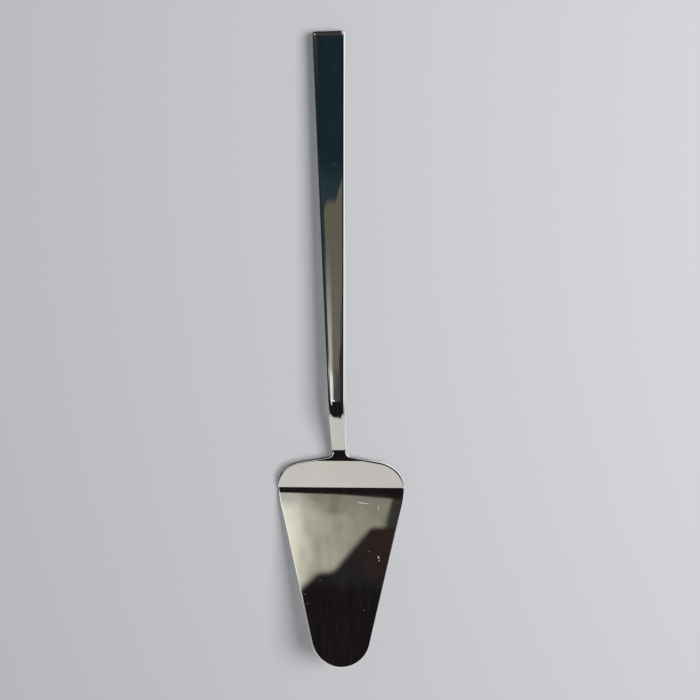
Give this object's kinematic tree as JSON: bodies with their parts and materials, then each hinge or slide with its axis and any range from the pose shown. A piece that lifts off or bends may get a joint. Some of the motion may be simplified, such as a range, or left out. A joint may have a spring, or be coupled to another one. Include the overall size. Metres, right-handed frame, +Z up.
{
  "type": "cake server",
  "caption": "Polished steel cake server: a tapered, round-tipped blade with a creased shoulder and a bent neck, set in a slender square-ended hollow handle.",
  "frame": {"origin": "on the table under the middle of the server's overall box, as it lies on the heel of its crease and the lower edge of its butt", "axes": "+Z up from the table, +Y along the server towards the butt of the handle with the blade's tip towards -Y, +X across the blade to the right of someone who looks along +Y"},
  "size_m": [0.052, 0.2542, 0.0181],
  "materials": {
    "blade_steel": "polished",
    "handle_steel": "polished",
    "filler": "matte"
  },
  "bodies": {
    "root": {"blade": "blade_steel", "handle_front_shell": "handle_steel", "handle_back_shell": "handle_steel", "handle_filler": "filler"}
  },
  "joints": []
}
